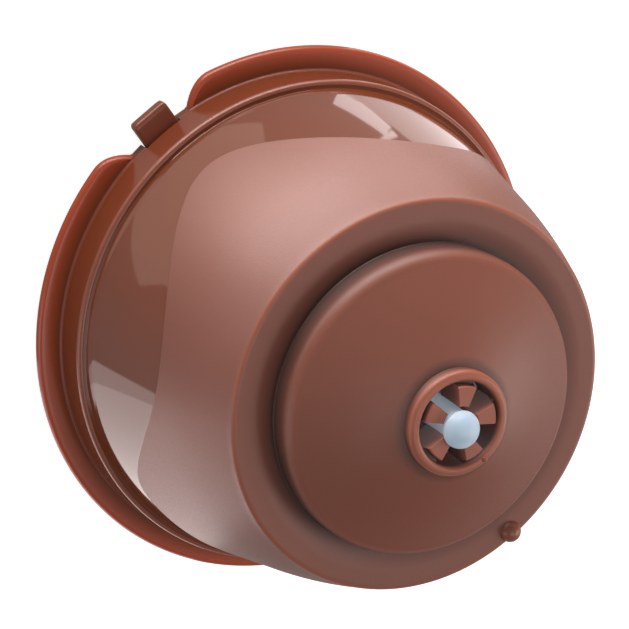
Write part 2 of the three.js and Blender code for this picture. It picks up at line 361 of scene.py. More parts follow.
def stretch(angle, radius, height, gloss, thin_glow=0.0, glow=0.0, painted_shade=0.0):
    """A run of outline points at every angle, each with its radius, height and four looks: gloss, and
    thin_glow, glow and painted_shade, which carry painted glow and painted shade.
    """
    shape = np.broadcast_shapes(np.shape(radius), np.shape(height), angle.shape)
    rows = [np.broadcast_to(value, shape) for value in (radius, height, gloss, thin_glow, glow, painted_shade)]
    return np.stack(rows, 2)


def flange_run(angle):
    """Flange: under face, round edge, upper face and foot. Its radius falls to the skirt's by the square of
    the way into the flare, and in the notch the same points lie on the skirt and its bevelled rim."""
    past_notch = (off_tab(angle) - notch_half_angle * DEG) * flange_radius
    in_notch = (past_notch < 0).astype(float)
    thin_here = 1 - in_notch
    short = np.clip(1 - past_notch / flange_flare, 0, 1)
    rim = flange_radius - (flange_radius - skirt_radius) * short ** 2
    lowest = rim_lift(angle)

    share = line(0, 1, 6)
    under_end = np.maximum(rim - flange_edge, skirt_radius - overlap)
    under_end = mix(under_end, skirt_radius - mouth_edge, in_notch)
    under_r = mix(mouth_radius + mouth_break, under_end, share)

    edge_r, edge_z = arc(0, 0, flange_edge, -80, 80, 9)
    edge_z = edge_z / flange_edge * (flange_thickness / 2) + flange_thickness / 2
    side_r = np.maximum(rim - flange_edge + column(edge_r), skirt_radius)
    bevel = line(0.3, 1, 9)
    notch_r = skirt_radius - mouth_edge * (1 - np.minimum(1, 2 * bevel)) ** 2
    notch_z = np.maximum(mouth_edge * bevel, lowest)
    round_r = mix(side_r, notch_r, in_notch)
    round_z = mix(column(edge_z), notch_z, in_notch)

    upper_r = mix(np.maximum(rim - flange_edge, skirt_radius), skirt_radius + skirt_foot, share)
    upper_r = mix(upper_r, skirt_radius, in_notch)
    upper_z = np.maximum(flange_thickness, lowest)

    foot_centre = (skirt_radius + skirt_foot, flange_thickness + skirt_foot)
    foot_r, foot_z = arc(*foot_centre, skirt_foot, -90, -180, 4)
    foot_r = mix(column(foot_r), skirt_radius, in_notch)
    foot_z = np.maximum(column(foot_z), lowest)
    # The flange's orange by thin_glow is partly the redder tone of its thinner plastic and partly painted
    # light shining through it; its foot has painted shade
    return [
        stretch(angle, under_r, lowest, gloss=1, thin_glow=0.5 * share * thin_here),
        stretch(angle, round_r, round_z, gloss=1, thin_glow=thin_here),
        stretch(angle, upper_r, upper_z, gloss=1, thin_glow=0.9 * (1 - share) * thin_here),
        stretch(angle, foot_r, foot_z, gloss=0.3, thin_glow=0.4 * thin_here, painted_shade=0.3 * thin_here),
    ]


def skirt_run(angle):
    """Upright skirt, round edge and flat of the step, and the cone of the glossy wall up to the sleeve."""
    skirt_z = line(flange_thickness + skirt_start, step_height - step_edge - apart, 4)
    edge_r, edge_z = arc(skirt_radius - step_edge, step_height - step_edge, step_edge, 0, 90, 8)
    flat_r = line(skirt_radius - step_edge - near, gloss_at_step + near, 3)
    wall_z = mix(step_height + near, leg_edge(angle) - hair, line(0, 1, 12))
    # The skirt gets a little thin_glow, and the step's round edge a painted highlight by glow
    return [
        stretch(angle, skirt_radius, skirt_z, gloss=0.9, thin_glow=0.1),
        stretch(angle, column(edge_r), column(edge_z), gloss=0.45, thin_glow=0.05, glow=0.3),
        stretch(angle, flat_r, step_height - step_fall, gloss=1),
        stretch(angle, gloss_radius(wall_z), wall_z, gloss=1),
    ]


def sleeve_run(angle):
    """Round lip along the sleeve's wavy lower edge, the sleeve's cone, and the round edge of the base."""
    edge = leg_edge(angle)
    lip_r, lip_z = arc(0, 0, sleeve_edge, -90, 0, 4)
    lip_out = sleeve_radius(edge + sleeve_edge) - sleeve_edge
    under_shares = [0.02, 0.9]
    under_r = mix(gloss_radius(edge), lip_out, column(under_shares))
    base_bend = base_height - base_edge
    climb = mix(edge + sleeve_edge + near, base_bend - near, line(0, 1, 22))
    edge_r, edge_z = arc(crown_radius(), base_bend, base_edge, 12, 90, 9)
    # Painted glow along the round edge of the base, strongest at its middle
    edge_glow = 0.8 * np.sin(line(0.15, np.pi, 9))
    return [
        stretch(angle, under_r, edge, gloss=column([1, 0])),
        stretch(angle, lip_out + column(lip_r), edge + sleeve_edge + column(lip_z), gloss=0),
        stretch(angle, sleeve_radius(climb), climb, gloss=0),
        stretch(angle, column(edge_r), column(edge_z), gloss=0, glow=edge_glow),
    ]


def disc_run(angle):
    """Flat base that dips smoothly into a groove, the raised disc's foot, wall and round edge, and its dish:
    nearly a cone, with a swell of half a sine wave, up to the nozzle ring."""
    flat_r = line(crown_radius() - apart, disc_radius + disc_foot + 2 * hair, 16)
    into_groove = np.clip((disc_radius + groove_reach - flat_r) / groove_reach, 0, 1)
    flat_z = base_height - groove_depth * smooth_step(into_groove)
    foot = base_height - groove_depth
    foot_r, foot_z = arc(disc_radius + disc_foot, foot + disc_foot, disc_foot, -90, -180, 4)
    wall_z = line(base_height, disc_top - disc_edge - apart, 5)
    edge_r, edge_z = arc(disc_radius - disc_edge, disc_top - disc_edge, disc_edge, 0, 68, 12)
    # Painted glow along the disc's round edge, and painted shade that fades up it from the wall
    edge_glow = 0.3 * np.sin(line(0, np.pi, 12))
    edge_shade = line(0.6, 0, 12) ** 1.5
    share = line(0.03, 1, 14)
    dish_r = mix(edge_r[-1], nozzle_radius + dish_end, share)
    dish_z = mix(edge_z[-1], dish_top, share) + dish_swell * np.sin(np.pi * share)
    # Painted shade on the dish's last point, beside the nozzle ring
    dish_shade = np.where(share < 1, 0, nozzle_shade)
    # Painted shade also darkens the groove, the disc's foot and its wall
    return [
        stretch(angle, flat_r, flat_z, gloss=0, painted_shade=into_groove ** groove_shade_fade),
        stretch(angle, column(foot_r), column(foot_z), gloss=0, painted_shade=1),
        stretch(angle, disc_radius, wall_z, gloss=0, painted_shade=line(1, 0.6, 5)),
        stretch(angle, column(edge_r), column(edge_z), gloss=0, glow=edge_glow, painted_shade=edge_shade),
        stretch(angle, dish_r, dish_z, gloss=0, painted_shade=dish_shade),
    ]


def nozzle_run(angle):
    """Foot, round outer lip and smaller inner lip of the nozzle ring."""
    foot_r, foot_z = arc(nozzle_radius + nozzle_foot, dish_top + nozzle_foot, nozzle_foot, -100, -180, 5)
    lip_r, lip_z = arc(nozzle_radius - nozzle_lip, nozzle_top - nozzle_lip, nozzle_lip, 0, 90, 7)
    inner = nozzle_inner_lip
    inner_r, inner_z = arc(nozzle_bore + inner, nozzle_top - inner, inner, 90, 180, 5)
    # Painted shade at the ring's foot, painted glow on its lips
    return [
        stretch(angle, column(foot_r), column(foot_z), gloss=0, painted_shade=nozzle_shade),
        stretch(angle, column(lip_r), column(lip_z), gloss=0.1, glow=1),
        stretch(angle, column(inner_r), column(inner_z), gloss=0.1, glow=line(1, 0.2, 5)),
    ]


def fin_run(angle):
    """Bore with its fins: the points of a fin's section, which between the fins lie on the bore's wall."""
    pitch = 2 * np.pi / fin_count
    off_fin = np.abs((angle - fin_turn * DEG + pitch / 2) % pitch - pitch / 2)
    in_fin = (off_fin < fin_half_angle * DEG).astype(float)
    shelf = fin_top - fin_step
    bottom = fin_top - fin_depth
    section = np.array([
        (nozzle_bore, shelf),
        (nozzle_bore - apart, shelf),
        (fin_face_radius + near, shelf),
        (fin_face_radius, shelf + near),
        (fin_face_radius, fin_top - fin_edge),
        (fin_face_radius - fin_edge, fin_top),
        (mix(fin_tip_radius, fin_face_radius, 0.5), fin_top),
        (fin_tip_radius + fin_edge, fin_top),
        (fin_tip_radius, fin_top - fin_edge),
        (fin_tip_radius, bottom),
        (nozzle_bore, bottom),
    ])
    fin_r, fin_z = column(section[:, 0]), column(section[:, 1])
    on_top = (fin_z > fin_top - 2 * fin_edge) * in_fin
    bore_r = mix(nozzle_bore, fin_r, in_fin)
    bore_z = mix(line(shelf, bottom, len(section)), fin_z, in_fin)
    # Painted glow on the tops of the fins, painted shade on their sides and on the bore
    return [stretch(angle, bore_r, bore_z, gloss=0.1, glow=0.9 * on_top, painted_shade=0.85 * (1 - on_top))]


def inside_run(angle):
    """Inside: ceiling under the dish and disc, floor, round corner, cone of the wall, ledge and mouth."""
    ceiling_r = line(nozzle_bore, disc_radius - wall, 5)
    ceiling_z = line(dish_top - wall, disc_top - wall, 5)
    disc_z = line(disc_top - wall - apart, floor_height + apart, 3)
    floor_edge = float(inner_radius(floor_height)) - floor_corner
    floor_r = line(disc_radius - wall + apart, floor_edge, 3)
    corner_r, corner_z = arc(floor_edge, floor_height - floor_corner, floor_corner, 80, 8, 5)
    fall = line(inner_wall_top, ledge_height + near, 9)
    ledge_r = column([ledge_radius + near, mouth_radius - apart])
    mouth_z = mix(ledge_height - apart, rim_lift(angle) + mouth_break, line(0, 1, 3))
    runs = [
        (ceiling_r, ceiling_z),
        (disc_radius - wall, disc_z),
        (floor_r, floor_height),
        (column(corner_r), column(corner_z)),
        (inner_radius(fall), fall),
        (ledge_r, ledge_height),
        (mouth_radius, mouth_z),
    ]
    return [stretch(angle, radius, height, gloss=0.6) for radius, height in runs]


def cup_outline(angles):
    """The cup's closed outline at every angle: flange, skirt, sleeve, disc, nozzle, fins and back inside."""
    makers = (flange_run, skirt_run, sleeve_run, disc_run, nozzle_run, fin_run, inside_run)
    angle = angles[:, None]
    return np.concatenate([run for maker in makers for run in maker(angle)], 1)


def make_cup(material):
    """Cup: the outline carried round Z, with the nub and the gate mark as small domes on it."""
    tab = tab_turn * DEG
    halves = (notch_half_angle, slot_half_angle)
    notch_marks = [tab + side * half * DEG for side in (-1, 1) for half in halves]
    fins = fin_turn + np.arange(fin_count) * 360 / fin_count
    fin_marks = [(fin + side * fin_half_angle) * DEG for fin in fins for side in (-1, 1)]
    angles = angles_with(notch_marks + fin_marks)
    outline = cup_outline(angles)
    shell = revolve(angles, outline[:, :, 0], outline[:, :, 1])
    nub = dome((*nub_centre, base_height), nub_radius, nub_rise, nub_depth)
    opposite = tab + np.pi
    gate_r = (nozzle_bore + nozzle_radius) / 2
    gate_centre = (gate_r * math.cos(opposite), gate_r * math.sin(opposite), nozzle_top - near)
    gate = dome(gate_centre, gate_radius, gate_rise, gate_depth)
    places, faces = joined([shell, nub, gate])
    dome_points = len(nub[0]) + len(gate[0])
    # The nub and the gate mark get a little painted glow
    dome_looks = {"gloss": 0.2, "thin_glow": 0, "glow": 0.3, "painted_shade": 0}
    looks = {}
    for place, (look, value) in enumerate(dome_looks.items(), 2):
        looks[look] = np.concatenate([outline[:, :, place].ravel(), np.full(dome_points, value)])
    piece = add_mesh("cup_shell", places, faces, material, "cup", looks)
    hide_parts("cup")


def radial_bar(start, end, half_width, bottom, top, turn):
    """A straight bar along a radius, as eight places and six quads, turned about Z."""
    corners = [[x, y, z] for z in (bottom, top) for y in (-half_width, half_width) for x in (start, end)]
    x, y, z = np.array(corners).T
    along = x * math.cos(turn) - y * math.sin(turn)
    across = x * math.sin(turn) + y * math.cos(turn)
    quads = np.array([[0, 2, 3, 1], [4, 5, 7, 6], [0, 1, 5, 4], [2, 6, 7, 3], [0, 4, 6, 2], [1, 3, 7, 5]])
    return np.stack([along, across, z], 1), quads


def pierced_disc(radii, angles, keep, bottom, top):
    """Polar cells between two faces: kept cells get both, and a wall wherever a neighbour is missing."""
    rows, columns = len(angles), len(radii)
    circle = np.stack([np.cos(angles)[:, None] * radii, np.sin(angles)[:, None] * radii], 2).reshape(-1, 2)
    flat = np.ones((len(circle), 1))
    places = np.concatenate([np.hstack([circle, flat * bottom]), np.hstack([circle, flat * top])])
    upper = rows * columns
    i, j = np.nonzero(keep)
    next_i = (i + 1) % rows
    a, b = i * columns + j, i * columns + j + 1
    d, c = next_i * columns + j, next_i * columns + j + 1
    faces = [np.stack([a + upper, b + upper, c + upper, d + upper], 1), np.stack([a, d, c, b], 1)]
    padded = np.pad(keep, ((0, 0), (1, 1)))
    inner_open, outer_open = ~padded[i, j], ~padded[i, j + 2]
    before_open, after_open = ~keep[i - 1, j], ~keep[next_i, j]
    for open_side, p, q in ((inner_open, d, a), (outer_open, b, c), (before_open, a, b), (after_open, c, d)):
        p, q = p[open_side], q[open_side]
        faces.append(np.stack([p, q, q + upper, p + upper], 1))
    faces = np.concatenate(faces)
    used, packed = np.unique(faces, return_inverse=True)
    return places[used], packed.reshape(faces.shape)


def shower_plate():
    """Lid's plate with shower holes: a cell is missing where its angle from a hole is within the hole's."""
    angles = angles_with([])
    radii = np.array([
        inlet_radius,
        inlet_boss_radius,
        shower_circle - shower_radius,
        shower_circle + shower_radius,
        seat_radius,
        lid_radius - plug_wall,
    ])
    pitch = 2 * np.pi / shower_count
    off_hole = np.abs((angles - shower_turn * DEG + pitch / 2) % pitch - pitch / 2)
    keep = np.ones((len(angles), len(radii) - 1), bool)
    keep[:, 2] = off_hole > math.asin(shower_radius / shower_circle)
    return pierced_disc(radii, angles, keep, 0, lid_plate)


def lid_rings():
    """Plug ring with rounded edges, screen seat, and inlet boss that narrows to a short spout."""
    plug_inner = lid_radius - plug_wall
    lid_cut, plug_cut = edge_cut * lid_edge, edge_cut * plug_edge
    plug = turned_ring([
        (plug_inner, 0),
        (lid_radius - lid_edge, 0),
        (lid_radius - lid_cut, lid_cut),
        (lid_radius, lid_edge),
        (lid_radius, plug_top - plug_edge),
        (lid_radius - plug_cut, plug_top - plug_cut),
        (lid_radius - plug_edge, plug_top),
        (plug_inner + apart, plug_top),
        (plug_inner, plug_top - apart),
    ])
    seat_outer = seat_radius + seat_width
    seat_foot = lid_plate - overlap
    seat_top = lid_plate + rib_height + screen_thickness + fit_gap
    seat = turned_ring([
        (seat_radius, seat_foot),
        (seat_outer, seat_foot),
        (seat_outer, seat_top - apart),
        (seat_outer - apart, seat_top),
        (seat_radius + apart, seat_top),
        (seat_radius, seat_top - apart),
    ])
    spout_radius = inlet_radius + inlet_wall
    boss = turned_ring([
        (inlet_radius, inlet_bevel),
        (inlet_radius + inlet_bevel, 0),
        (inlet_boss_radius, 0),
        (inlet_boss_radius, lid_plate + rib_height),
        (spout_radius, inlet_top - apart),
        (spout_radius - apart, inlet_top),
        (inlet_radius, inlet_top),
    ], 96)
    return [plug, seat, boss]


def lid_ribs():
    """Evenly turned ribs on the plate, from the boss to the seat and from the seat to the plug ring."""
    foot, top = lid_plate - overlap, lid_plate + rib_height
    inner_rib = (inlet_boss_radius - overlap, seat_radius + overlap)
    outer_rib = (seat_radius + seat_width - overlap, lid_radius - plug_wall + overlap)
    turns = [2 * np.pi * i / rib_count for i in range(rib_count)]
    ribs = (inner_rib, outer_rib)
    return [radial_bar(*rib, rib_width / 2, foot, top, turn) for turn in turns for rib in ribs]


def pull_tab():
    """Rounded bar from the lid's edge to the flange's radius: a superellipse section carried along -Y, which
    shrinks over the last corner by a quarter circle."""
    sections, around = 30, 64
    crowding = 0.7
    start, end = lid_radius - tab_root, flange_radius
    along = mix(start, end, np.linspace(0, 1, sections) ** crowding)
    into_corner = np.clip(along - (end - tab_corner), 0, tab_corner)
    inset = tab_corner - np.sqrt(np.clip(tab_corner ** 2 - into_corner ** 2, 0, None))
    sweep = np.linspace(0, 2 * np.pi, around, endpoint=False)
    across = np.sign(np.cos(sweep)) * np.abs(np.cos(sweep)) ** tab_squareness[0]
    upwards = np.sign(np.sin(sweep)) * np.abs(np.sin(sweep)) ** tab_squareness[1]
    half_height = tab_thickness / 2
    x = across[None, :] * (tab_half_width - tab_drawn_in[0] * inset)[:, None]
    z = half_height + upwards[None, :] * (half_height - tab_drawn_in[1] * inset)[:, None]
    y = np.broadcast_to(-along[:, None], x.shape)
    places = np.stack([x, y, z], 2).reshape(-1, 3)
    faces = [grid_faces(sections, around, close_rows=False)]
    for row, order in ((0, 1), (sections - 1, -1)):
        ring = row * around + np.arange(around)
        middle = np.full(around // 2, len(places))
        places = np.vstack([places, [0, -along[row], half_height]])
        fan = np.stack([middle, ring[0::2], ring[1::2], np.roll(ring[0::2], -1)], 1)
        faces.append(fan[:, ::order])
    return places, np.concatenate(faces)


def make_lid(material):
    """Plug lid: pierced plate, plug ring, screen seat, inlet boss, ribs and the pull tab."""
    places, faces = joined([shower_plate()] + lid_rings() + lid_ribs() + [pull_tab()])
    piece = add_mesh("plug_lid", places, faces, material, "lid")
    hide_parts("lid")


def slotted_plate():
    """Flow plate: a cell of the slotted rings is missing where its middle lies within half a slot's width."""
    angles = np.linspace(0, 2 * np.pi, 360, endpoint=False)
    rings = np.linspace(slot_inner, slot_outer, slot_cells + 1)
    radii = np.concatenate([[hub_radius], rings, [plate_radius - apart]])
    pitch = 2 * np.pi / plate_slots
    off_slot = np.abs((angles + pitch / 2) % pitch - pitch / 2)
    middles = (rings[:-1] + rings[1:]) / 2
    keep = np.ones((len(angles), len(radii) - 1), bool)
    keep[:, 1:-1] = off_slot[:, None] * middles[None, :] > slot_width / 2
    return pierced_disc(radii, angles, keep, plate_bottom, plate_top)


def guide_pin():
    """Guide pin: a hub that flares in to the shank by a smooth step, a neck that swells to the head, and a
    quarter ellipse as its dome. It leans evenly with its height above the plate."""
    root = hub_radius + apart
    flare = np.linspace(0, 1, 10)
    swell_start = 0.2
    swell = smooth_step(np.linspace(swell_start, 1, 6))
    head_r, head_z = arc(0, 0, 1, 0, 88, 12)
    stem_r = np.concatenate([
        [closing_radius, root, root],
        mix(root, pin_radius, smooth_step(flare) ** 0.5),
        [pin_radius, pin_radius, pin_neck_radius],
        mix(pin_neck_radius, pin_head_radius, swell),
        head_r * pin_head_radius,
        [closing_radius],
    ])
    stem_z = np.concatenate([
        [plate_bottom, plate_bottom, plate_top],
        plate_top + near + hub_flare * flare,
        [plate_top + shank_start, fin_top - pin_neck_start, fin_top + 2 * hair],
        np.linspace(fin_top + near, pin_head, 6),
        pin_head + head_z * pin_dome,
        [pin_head + pin_dome],
    ])
    places, faces = turned_ring(np.stack([stem_r, stem_z], 1), 96)
    leaning = np.clip((places[:, 2:] - plate_top) / (pin_head - plate_top), 0, None)
    places[:, :2] += leaning * pin_lean
    return places, faces


def make_flow_plate(material):
    """Slotted plate with the guide pin that stands up through the nozzle, with a painted glow that grows
    towards its head.
    """
    places, faces = joined([slotted_plate(), guide_pin()])
    painted_pin_glow = np.clip((places[:, 2] - plate_top - pin_glow_start) / pin_glow_reach, 0, 1)
    looks = {"painted_pin_glow": painted_pin_glow}
    piece = add_mesh("flow_plate_with_pin", places, faces, material, "cup", looks)
    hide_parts("flow_plate")


def screen_wire(low, high, offset, shift, middle, along_x):
    """One wire from low to high at an offset: a square section carried along a cosine wave, whose half wave
    is one pitch and which starts shifted by a number of pitches."""
    steps = max(4, int((high - low) / wire_pitch * 2))
    run = np.linspace(low, high, steps)
    wave = wire_thickness / 2 * np.cos(np.pi * (run / wire_pitch + shift))
    section = np.array([[-1, -1], [1, -1], [1, 1], [-1, 1]]) * wire_thickness / 2
    height = middle + wave[:, None] + section[None, :, 1]
    lengthwise = np.broadcast_to(run[:, None], height.shape)
    sideways = np.broadcast_to(offset + section[None, :, 0], height.shape)
    order = (lengthwise, sideways) if along_x else (sideways, lengthwise)
    places = np.stack([*order, height], 2).reshape(-1, 3)
    last = (steps - 1) * 4
    ends = np.array([[3, 2, 1, 0], [last, last + 1, last + 2, last + 3]])
    quads = np.concatenate([grid_faces(steps, 4, close_rows=False), ends])
    return places, quads if along_x else quads[:, ::-1]


def screen_ring(edge, bottom):
    """Pressed rim of a screen, its outer edges cut off, of the rim's width inside an edge radius."""
    inner = edge - screen_rim
    top = bottom + screen_thickness
    profile = [
        (inner, bottom),
        (edge - near, bottom),
        (edge, bottom + near),
        (edge, top - near),
        (edge - near, top),
        (inner, top),
    ]
    return turned_ring(profile, 120)


def woven_screen(name, radius, bottom, hole, material, body, node):
    """Plain weave in a rim: wires both ways, each a chord of the screen's circle, over and under the
    others, and cut where the centre hole and its own rim are."""
    reach = radius - screen_rim / 2
    middle = bottom + screen_thickness / 2
    count = int(2 * reach / wire_pitch) - 1
    offsets = (np.arange(count) - (count - 1) / 2) * wire_pitch
    parts = []
    for way in (0, 1):
        for place, offset in enumerate(offsets):
            half = math.sqrt(reach ** 2 - offset ** 2)
            gap = math.sqrt(max(0, hole ** 2 - offset ** 2))
            spans = [(-half, -gap), (gap, half)] if gap else [(-half, half)]
            shift = place + way + (count - 1) / 2
            for low, high in spans:
                parts.append(screen_wire(low, high, offset, shift, middle, way == 0))
    for edge in (radius, hole + screen_rim) if hole else (radius,):
        parts.append(screen_ring(edge, bottom))
    places, faces = joined(parts)
    piece = add_mesh(name, places, faces, material, body)
    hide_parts(node)


def make_screens(material):
    """Lid's screen on its ribs with a hole for the inlet, and the base's screen under the flow plate."""
    lid_bottom = lid_plate + rib_height + fit_gap / 2
    lid_reach = seat_radius - fit_gap
    lid_hole = inlet_boss_radius + fit_gap
    woven_screen("lid_shower_screen", lid_reach, lid_bottom, lid_hole, material, "lid", "lid_screen")
    base_top = plate_bottom - fit_gap
    base_reach = float(inner_radius(base_top)) - 2 * fit_gap
    base_bottom = base_top - screen_thickness
    woven_screen("base_filter_screen", base_reach, base_bottom, 0, material, "cup", "base_screen")


def new_material(name):
    """A new material with its node tree and its Principled shader."""
    material = bpy.data.materials.new(name)
    material.use_nodes = True
    tree = material.node_tree
    return material, tree, tree.nodes["Principled BSDF"]


def feed(tree, value, socket):
    """A link where the value is another socket, or else the value as the socket's own."""
    if isinstance(value, bpy.types.NodeSocket):
        tree.links.new(value, socket)
    else:
        socket.default_value = value


def math_node(tree, operation, first, second, clamp=False):
    """One math node, whose inputs are sockets or plain numbers."""
    node = tree.nodes.new("ShaderNodeMath")
    node.operation = operation
    node.use_clamp = clamp
    feed(tree, first, node.inputs[0])
    feed(tree, second, node.inputs[1])
    return node.outputs[0]


def blend_number(tree, share, first, second):
    """Two plain numbers mixed by a share socket: the first plus the share of their difference."""
    return math_node(tree, "ADD", math_node(tree, "MULTIPLY", share, second - first), first)


def blend_colour(tree, share, first, second):
    """Two colours mixed by a share socket."""
    node = tree.nodes.new("ShaderNodeMix")
    node.data_type = "RGBA"
    tree.links.new(share, node.inputs["Factor"])
    colour_inputs = [socket for socket in node.inputs if socket.type == "RGBA"]
    feed(tree, first, colour_inputs[0])
    feed(tree, second, colour_inputs[1])
    return [socket for socket in node.outputs if socket.type == "RGBA"][0]


def read_attribute(tree, name):
    """A float attribute of the mesh as a socket."""
    node = tree.nodes.new("ShaderNodeAttribute")
    node.attribute_name = name
    return node.outputs["Fac"]


cloud_scale = 90
cloud_detail = 4
grain_detail = 3
grain_height = 0.03 * MM


def noise(tree, detail):
    """Noise over the object's own coordinates, and its scale socket."""
    where = tree.nodes.new("ShaderNodeTexCoord").outputs["Object"]
    node = tree.nodes.new("ShaderNodeTexNoise")
    node.inputs["Detail"].default_value = detail
    tree.links.new(where, node.inputs["Vector"])
    return node.outputs[0], node.inputs["Scale"]


def moulded_grain_group():
    """Grain of a moulded skin: the base colour's value swings with a cloud, the roughness swings with a fine
    grain, and the same grain gives the bump."""
    group = bpy.data.node_groups.new("moulded_grain", "ShaderNodeTree")
    starting_values = (
        ("Base", "NodeSocketColor", (0.2, 0.08, 0.05, 1)),
        ("Roughness", "NodeSocketFloat", 0.4),
        ("Cloud", "NodeSocketFloat", 0.1),
        ("Grain", "NodeSocketFloat", 0.1),
        ("Grain Size", "NodeSocketFloat", 4000.0),
    )
    for label, kind, value in starting_values:
        group.interface.new_socket(label, in_out="INPUT", socket_type=kind).default_value = value
    results = (("Color", "NodeSocketColor"), ("Roughness", "NodeSocketFloat"), ("Normal", "NodeSocketVector"))
    for label, kind in results:
        group.interface.new_socket(label, in_out="OUTPUT", socket_type=kind)
    given = group.nodes.new("NodeGroupInput").outputs
    put = group.nodes.new("NodeGroupOutput").inputs

    cloud, cloud_size = noise(group, cloud_detail)
    cloud_size.default_value = cloud_scale
    swing = math_node(group, "MULTIPLY", math_node(group, "SUBTRACT", cloud, 0.5), given["Cloud"])
    shade = group.nodes.new("ShaderNodeHueSaturation")
    group.links.new(given["Base"], shade.inputs["Color"])
    group.links.new(math_node(group, "ADD", swing, 1.0), shade.inputs["Value"])

    grain, grain_size = noise(group, grain_detail)
    group.links.new(given["Grain Size"], grain_size)
    uneven = math_node(group, "MULTIPLY", math_node(group, "SUBTRACT", grain, 0.5), given["Grain"])
    rough = math_node(group, "ADD", given["Roughness"], uneven, clamp=True)
    bump = group.nodes.new("ShaderNodeBump")
    bump.inputs["Distance"].default_value = grain_height
    group.links.new(given["Grain"], bump.inputs["Strength"])
    group.links.new(grain, bump.inputs["Height"])

    group.links.new(shade.outputs[0], put["Color"])
    group.links.new(rough, put["Roughness"])
    group.links.new(bump.outputs[0], put["Normal"])
    return group


def place_grain(tree, shader, group, base, roughness, cloud, grain, grain_size):
    """The grain group in a material, fed by plain values or sockets, into the shader."""
    node = tree.nodes.new("ShaderNodeGroup")
    node.node_tree = group
    values = {"Base": base, "Roughness": roughness, "Cloud": cloud, "Grain": grain, "Grain Size": grain_size}
    for label, value in values.items():
        feed(tree, value, node.inputs[label])
    tree.links.new(node.outputs["Color"], shader.inputs["Base Color"])
    tree.links.new(node.outputs["Roughness"], shader.inputs["Roughness"])
    tree.links.new(node.outputs["Normal"], shader.inputs["Normal"])


# Colours of the plastics and the steel, in linear light
matte_brown = (0.218, 0.066, 0.040, 1)
polished_brown = (0.185, 0.046, 0.019, 1)
# Painted light and shade: the lighter orange of painted glow on edges, the orange of thinner parts, partly
# their tone and partly painted light through them, and the near black of painted shade in creases
painted_glow_orange = (0.38, 0.105, 0.055, 1)
thin_glow_orange = (0.40, 0.058, 0.017, 1)
crease_shade_brown = (0.035, 0.012, 0.008, 1)
lid_brown = (0.215, 0.052, 0.024, 1)
milky_blue = (0.40, 0.48, 0.56, 1)
milky_light = (0.45, 0.58, 0.68, 1)
no_light = (0, 0, 0, 1)
steel_grey = (0.56, 0.57, 0.58, 1)

# Strengths of the cup's painted glow and painted shade, then its finish, from spark-eroded to polished
edge_glow_most = 0.75
crease_shade_most = 0.93
matte_roughness = 0.46
polished_roughness = 0.07
thin_roughness = 0.25
matte_grain = 0.30
polished_grain = 0.01


def cup_plastic(grain):
    """Brown plastic: polished where gloss is 1 and spark-eroded where it is 0. Painted glow makes it lighter
    orange along edges, on the nozzle ring and on the fin tops, and thin_glow makes it orange on thinner
    parts, partly their redder tone and partly painted light shining through them. Painted shade makes it near
    black in creases, the groove and the bore."""
    material, tree, shader = new_material("cup_brown_plastic")
    gloss = read_attribute(tree, "gloss")
    thin_glow = read_attribute(tree, "thin_glow")
    glow = math_node(tree, "MULTIPLY", read_attribute(tree, "glow"), edge_glow_most)
    painted_shade = math_node(tree, "MULTIPLY", read_attribute(tree, "painted_shade"), crease_shade_most)
    base = blend_colour(tree, gloss, matte_brown, polished_brown)
    base = blend_colour(tree, glow, base, painted_glow_orange)
    base = blend_colour(tree, thin_glow, base, thin_glow_orange)
    base = blend_colour(tree, painted_shade, base, crease_shade_brown)
    rough = blend_number(tree, gloss, matte_roughness, polished_roughness)
    rough = math_node(tree, "ADD", rough, math_node(tree, "MULTIPLY", thin_glow, thin_roughness))
    texture = blend_number(tree, gloss, matte_grain, polished_grain)
    place_grain(tree, shader, grain, base, rough, cloud=0.10, grain=texture, grain_size=5200.0)
    shader.inputs["IOR"].default_value = 1.52
    return material


def lid_plastic(grain):
    """Brown plastic of the lid and its tab, half polished, with a faint grain."""
    material, tree, shader = new_material("lid_brown_plastic")
    place_grain(tree, shader, grain, lid_brown, 0.30, cloud=0.12, grain=0.06, grain_size=3500.0)
    shader.inputs["IOR"].default_value = 1.5
    return material


def milky_plastic(grain):
    """Uncoloured plastic: milky, faintly blue, with light scattered under the skin. Where painted_pin_glow is
    1 it has a painted glow: a little emission that stands in for light coming through it from behind."""
    material, tree, shader = new_material("milky_plastic")
    place_grain(tree, shader, grain, milky_blue, 0.42, cloud=0.10, grain=0.05, grain_size=3000.0)
    lit = blend_colour(tree, read_attribute(tree, "painted_pin_glow"), no_light, milky_light)
    tree.links.new(lit, shader.inputs["Emission Color"])
    shader.inputs["Emission Strength"].default_value = 0.2
    shader.inputs["Subsurface Weight"].default_value = 0.9
    shader.inputs["Subsurface Radius"].default_value = (0.6, 0.8, 1.0)
    shader.inputs["Subsurface Scale"].default_value = 1.5 * MM
    shader.inputs["IOR"].default_value = 1.49
    return material


def screen_steel(grain):
    """Drawn stainless wire with fine uneven polish."""
    material, tree, shader = new_material("screen_steel_wire")
    place_grain(tree, shader, grain, steel_grey, 0.28, cloud=0.15, grain=0.12, grain_size=9000.0)
    shader.inputs["Metallic"].default_value = 1.0
    return material


floor_half_width = 1.6
floor_grey = (0.55, 0.55, 0.55, 1)
floor_to_camera = 0.85
floor_in_gloss = 0.15


